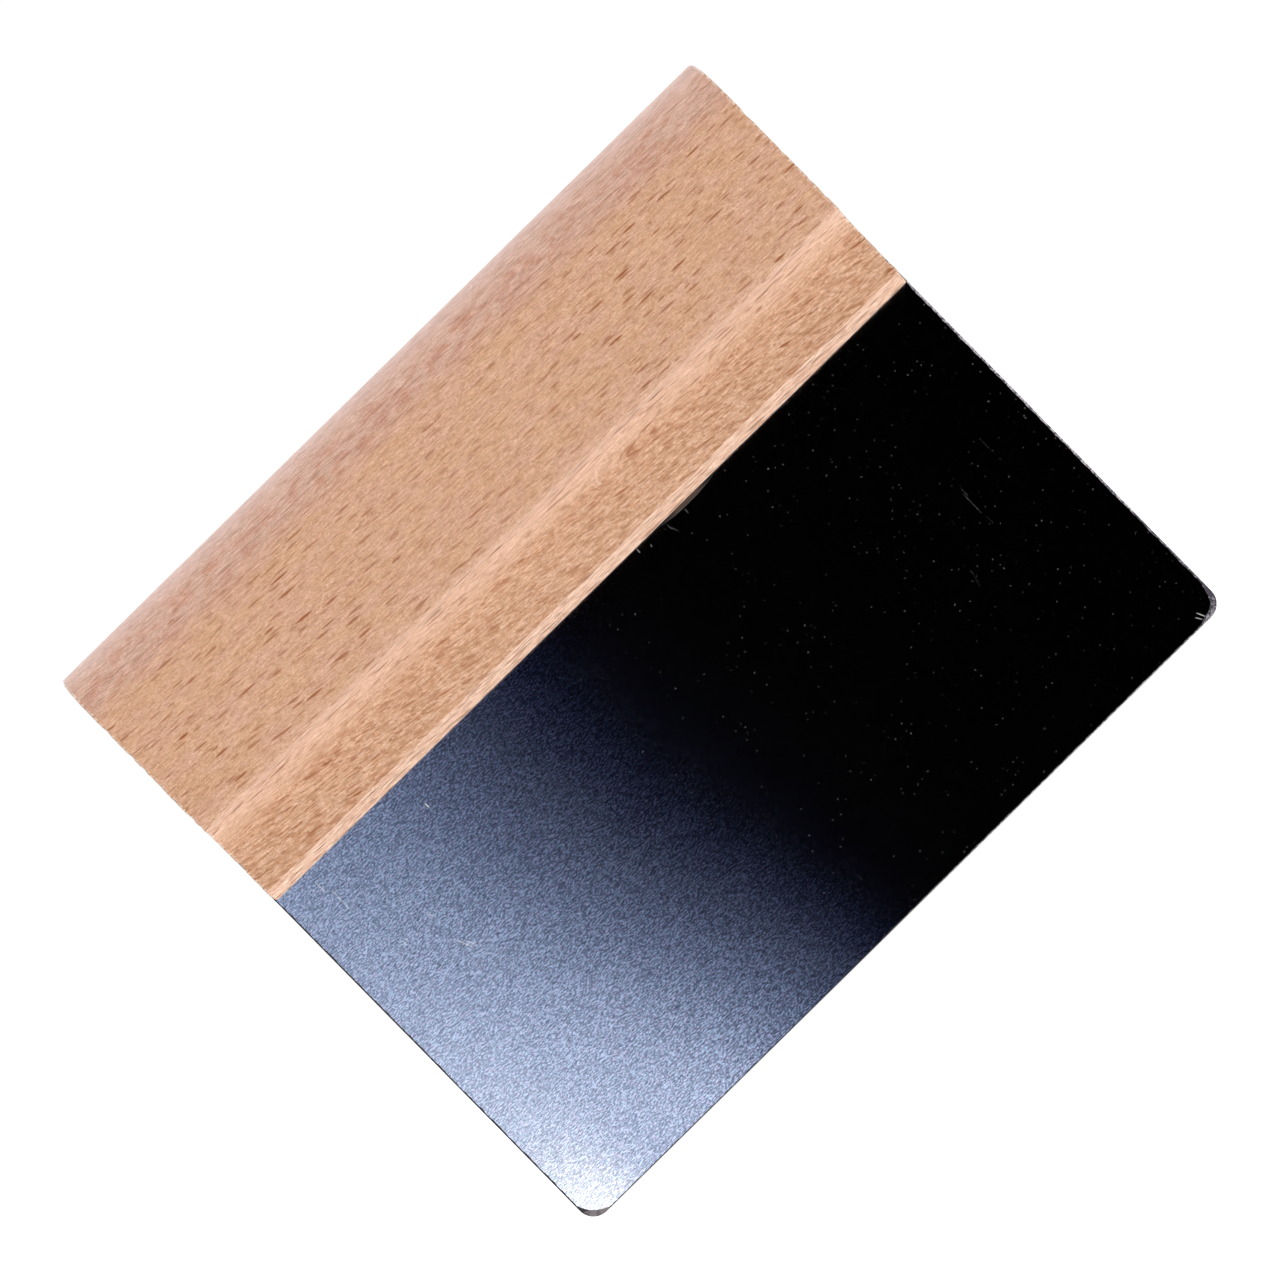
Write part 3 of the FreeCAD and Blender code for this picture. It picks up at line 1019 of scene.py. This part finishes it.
def adhesive_material():
    """Hard dark adhesive with a slight gloss: a painted highlight on its lower rim, nearly black where it is
    thin.
    """
    material, n = new_material("cured_adhesive")
    whole, place = n.millimetres()
    mottle = n.noise(n.scaled(whole, 1.6, 1.0, 0.5), detail=3.0)
    colour = n.mix(n.smooth(mottle, 0.35, 0.7), *ADHESIVE_PAIR)
    # Painted highlight on the down-facing lower rim of the bead
    colour = n.mix(n.smooth(n.facing()[2], -0.45, -0.85), colour, ADHESIVE_RIM_HIGHLIGHT)
    from_middle = n.absolute(n.minus(place[0], BEAD_CENTRE_X / MM))
    colour = n.mix(n.smooth(from_middle, 1.5, 6.5), colour, ADHESIVE_THIN)
    n.finish({
        "Base Color": colour,
        "Roughness": n.linear(mottle, 0.3, 0.7, 0.28, 0.5),
        "Normal": n.bump(mottle, 0.4, 0.03),
    })
    return material


# ---------------------------------------------------------------- studio

CAMERA_DISTANCE = 1.6
CAMERA_ROLL = math.radians(44.5)
SENSOR_WIDTH = 36.0
FIELD_WIDTH = 219.8 * MM
AIM_RIGHT = -0.45 * MM
AIM_UP = 0.57 * MM
FLOOR_HALF = 4.0

# The window card hangs in front of the blade; its limits are left, right, bottom and top, in metres
CARD_DISTANCE = 0.4
CARD_LIMITS = (-0.45, 0.05, -0.3, 0.35)

# A mirrored ray spreads by this much, and rises by this many millimetres, between the blade and the card
CARD_SPREAD = (CAMERA_DISTANCE + CARD_DISTANCE) / CAMERA_DISTANCE
CARD_RISE = 16.0

# Distance in millimetres from the start of the glow at which its rise slows to half
CARD_BEND = 49.0


def make_camera():
    """Square to the front face, far back, rolled so that the handle runs up to the right."""
    centre = (cad_box[0] + cad_box[1]) / 2
    right = Vector((math.cos(CAMERA_ROLL), 0, -math.sin(CAMERA_ROLL)))
    up = Vector((math.sin(CAMERA_ROLL), 0, math.cos(CAMERA_ROLL)))
    back = Vector((0, -1, 0))
    data = bpy.data.cameras.new("photo_camera")
    data.sensor_width = SENSOR_WIDTH
    data.lens = SENSOR_WIDTH * CAMERA_DISTANCE / FIELD_WIDTH
    data.clip_start = 0.05
    data.clip_end = 60
    camera = bpy.data.objects.new("photo_camera", data)
    rotation = Matrix((right, up, back)).transposed().to_4x4()
    position = Vector((centre.x, 0, centre.z)) + right * AIM_RIGHT + up * AIM_UP + back * CAMERA_DISTANCE
    camera.matrix_world = Matrix.Translation(position) @ rotation
    bpy.context.scene.collection.objects.link(camera)
    bpy.context.scene.camera = camera


def flat_panel(name, corners, material):
    """A staged rectangle of the studio."""
    mesh = bpy.data.meshes.new(name)
    mesh.from_pydata(corners, [], [(0, 1, 2, 3)])
    mesh.materials.append(material)
    panel = bpy.data.objects.new(name, mesh)
    bpy.context.scene.collection.objects.link(panel)
    return panel


def make_floor():
    """Plain pale floor; it glows a little, like a lit sweep, and stays out of the steel's reflection."""
    material, n = new_material("floor")
    coords = n.add("ShaderNodeTexCoord").outputs["Object"]
    distance = n.length(coords)
    n.finish({
        "Base Color": (0.6, 0.6, 0.6, 1),
        "Roughness": 0.9,
        "Emission Color": (1, 1, 1, 1),
        "Emission Strength": n.linear(distance, 0.3, 1.0, 0.78, 1.0),
    })
    corners = [(x * FLOOR_HALF, y * FLOOR_HALF, 0) for x, y in ((-1, -1), (1, -1), (1, 1), (-1, 1))]
    floor = flat_panel("floor", corners, material)
    floor.visible_glossy = False


def window_power(n, blade_x, blade_z):
    """Brightness of the window seen in each place on the blade: rising leftwards, brightest low."""
    start = n.plus(n.linear(blade_z, 46, 3, -8.5, 0.3), n.linear(blade_z, 46, 76, 0.0, 2.4))
    slope = n.plus(n.linear(blade_z, 76, 3, 0.0096, 0.0148), n.smooth(blade_z, 15, 1, 0.0, 0.0022))
    reach = n.largest(n.minus(start, blade_x), 0.0)
    bent = n.times_plus(n.minus(reach, CARD_BEND), 0.5, CARD_BEND)
    run = n.times(n.math("MINIMUM", reach, bent), slope)
    power = n.math("MINIMUM", n.times(n.times(run, run), 2.42), 1.35)
    power = n.times(power, n.smooth(blade_x, -170, -88, 0.20, 1.0))
    corner_x = n.times_plus(blade_x, 0.8, 64.0)
    corner_z = n.times_plus(blade_z, 1.4, 5.0)
    from_corner = n.length(n.vector(corner_x, 0.0, corner_z))
    return n.plus(power, n.smooth(from_corner, 17, 5, 0.0, 2.6))


def make_reflection_card():
    """A pale blue window seen only in reflections on the bright steel; it fades out to the right."""
    material, n = new_material("window_card")
    place = n.millimetres()[1]
    blade_x = n.math("DIVIDE", place[0], CARD_SPREAD)
    blade_z = n.math("DIVIDE", n.plus(place[2], CARD_RISE), CARD_SPREAD)
    power = window_power(n, blade_x, blade_z)
    tint = n.mix(n.linear(power, 0.0, 0.12), (0.22, 0.28, 1.0), (0.42, 0.56, 1.0))
    tint = n.mix(n.linear(power, 0.12, 0.60), tint, (0.50, 0.66, 1.0))
    tint = n.mix(n.linear(power, 0.60, 1.35), tint, (0.62, 0.75, 1.0))
    tint = n.mix(n.smooth(power, 1.3, 3.0), tint, (0.96, 0.99, 1.0))
    tint = n.mix(n.smooth(blade_x, -86, -115), tint, (0.85, 0.90, 1.0))
    glow = n.add("ShaderNodeEmission", {"Color": tint, "Strength": power})
    n.add("ShaderNodeOutputMaterial", {"Surface": glow.outputs[0]})
    material.cycles.emission_sampling = "NONE"
    left, right, bottom, top = CARD_LIMITS
    outline = ((left, bottom), (right, bottom), (right, top), (left, top))
    card = flat_panel("window_card", [(x, -CARD_DISTANCE, z) for x, z in outline], material)
    card.visible_camera = False
    card.visible_diffuse = False
    card.visible_shadow = False
    card.visible_transmission = False


def soft_light(name, position, target, size, power, colour):
    """A round lamp aimed at target that the steel does not mirror."""
    data = bpy.data.lights.new(name, "AREA")
    data.shape = "DISK"
    data.size = size
    data.energy = power
    data.color = colour
    light = bpy.data.objects.new(name, data)
    light.location = position
    light.rotation_mode = "QUATERNION"
    light.rotation_quaternion = (Vector(target) - Vector(position)).to_track_quat("-Z", "Y")
    light.visible_glossy = False
    bpy.context.scene.collection.objects.link(light)


def make_world():
    """White to the camera, soft light for the wood, and for the steel a dark room, paler right and behind."""
    world = bpy.data.worlds.new("studio")
    bpy.context.scene.world = world
    world.use_nodes = True
    n = Nodes(world.node_tree)
    direction = n.add("ShaderNodeTexCoord").outputs["Generated"]
    dir_x, dir_y, dir_z = n.split(direction)
    sideways = n.smooth(dir_x, 0.45, 0.9, 0.0, 0.75)
    room = n.noise(n.scaled(direction, 0.3, 0.3, 0.3), detail=1.0)
    behind = n.times(n.smooth(dir_y, 0.05, 0.35), n.smooth(room, 0.35, 0.65, 0.45, 1.15))
    mirrored = n.largest(sideways, behind)
    soft = n.times_plus(n.smooth(dir_y, 0.0, 0.6), 0.5, n.linear(dir_z, -0.3, 0.9, 0.2, 0.3))

    def background(colour, strength):
        return n.add("ShaderNodeBackground", {"Color": (*colour, 1), "Strength": strength}).outputs[0]

    path = n.add("ShaderNodeLightPath").outputs
    lighting = n.add("ShaderNodeMixShader", {
        0: path["Is Glossy Ray"],
        1: background((1.0, 0.99, 0.98), soft),
        2: background((0.93, 0.96, 1.0), mirrored),
    })
    seen = n.add("ShaderNodeMixShader", {
        0: path["Is Camera Ray"],
        1: lighting.outputs[0],
        2: background((1, 1, 1), 1.05),
    })
    n.add("ShaderNodeOutputWorld", {"Surface": seen.outputs[0]})


def make_studio():
    """World, floor, window card and four soft lamps round the scraper."""
    make_world()
    make_floor()
    make_reflection_card()
    middle = (0, 0, 0.08)
    soft_light("overhead", (0.0, 0.12, 1.35), middle, 0.9, 9.5, (1.0, 0.99, 0.98))
    soft_light("key_left", (-0.9, -1.0, 0.7), middle, 0.6, 3.4, (1.0, 0.985, 0.96))
    soft_light("fill_right", (0.9, -0.9, 0.4), middle, 0.6, 2.2, (1.0, 0.985, 0.96))
    soft_light("back_fill", (0.2, 1.0, 0.6), middle, 0.8, 2.0, (0.95, 0.97, 1.0))
    view = bpy.context.scene.view_settings
    view.view_transform = "Standard"
    view.look = "None"


# ---------------------------------------------------------------- assembly

def main():
    """Camera, studio and the three pieces, each with its body, its node of the model and its look."""
    make_camera()
    make_studio()
    handle = build_handle(beech_material())
    blade = build_blade(sheet_material(), ground_material())
    adhesive = build_adhesive(adhesive_material())
    placed = (
        (handle, "handle", "beech"),
        (blade, "blade", "blade_steel"),
        (adhesive, "adhesive", "cured_adhesive"),
    )
    for piece, node_name, slot_name in placed:
        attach(piece, "root")
        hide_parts(node_name)


main()
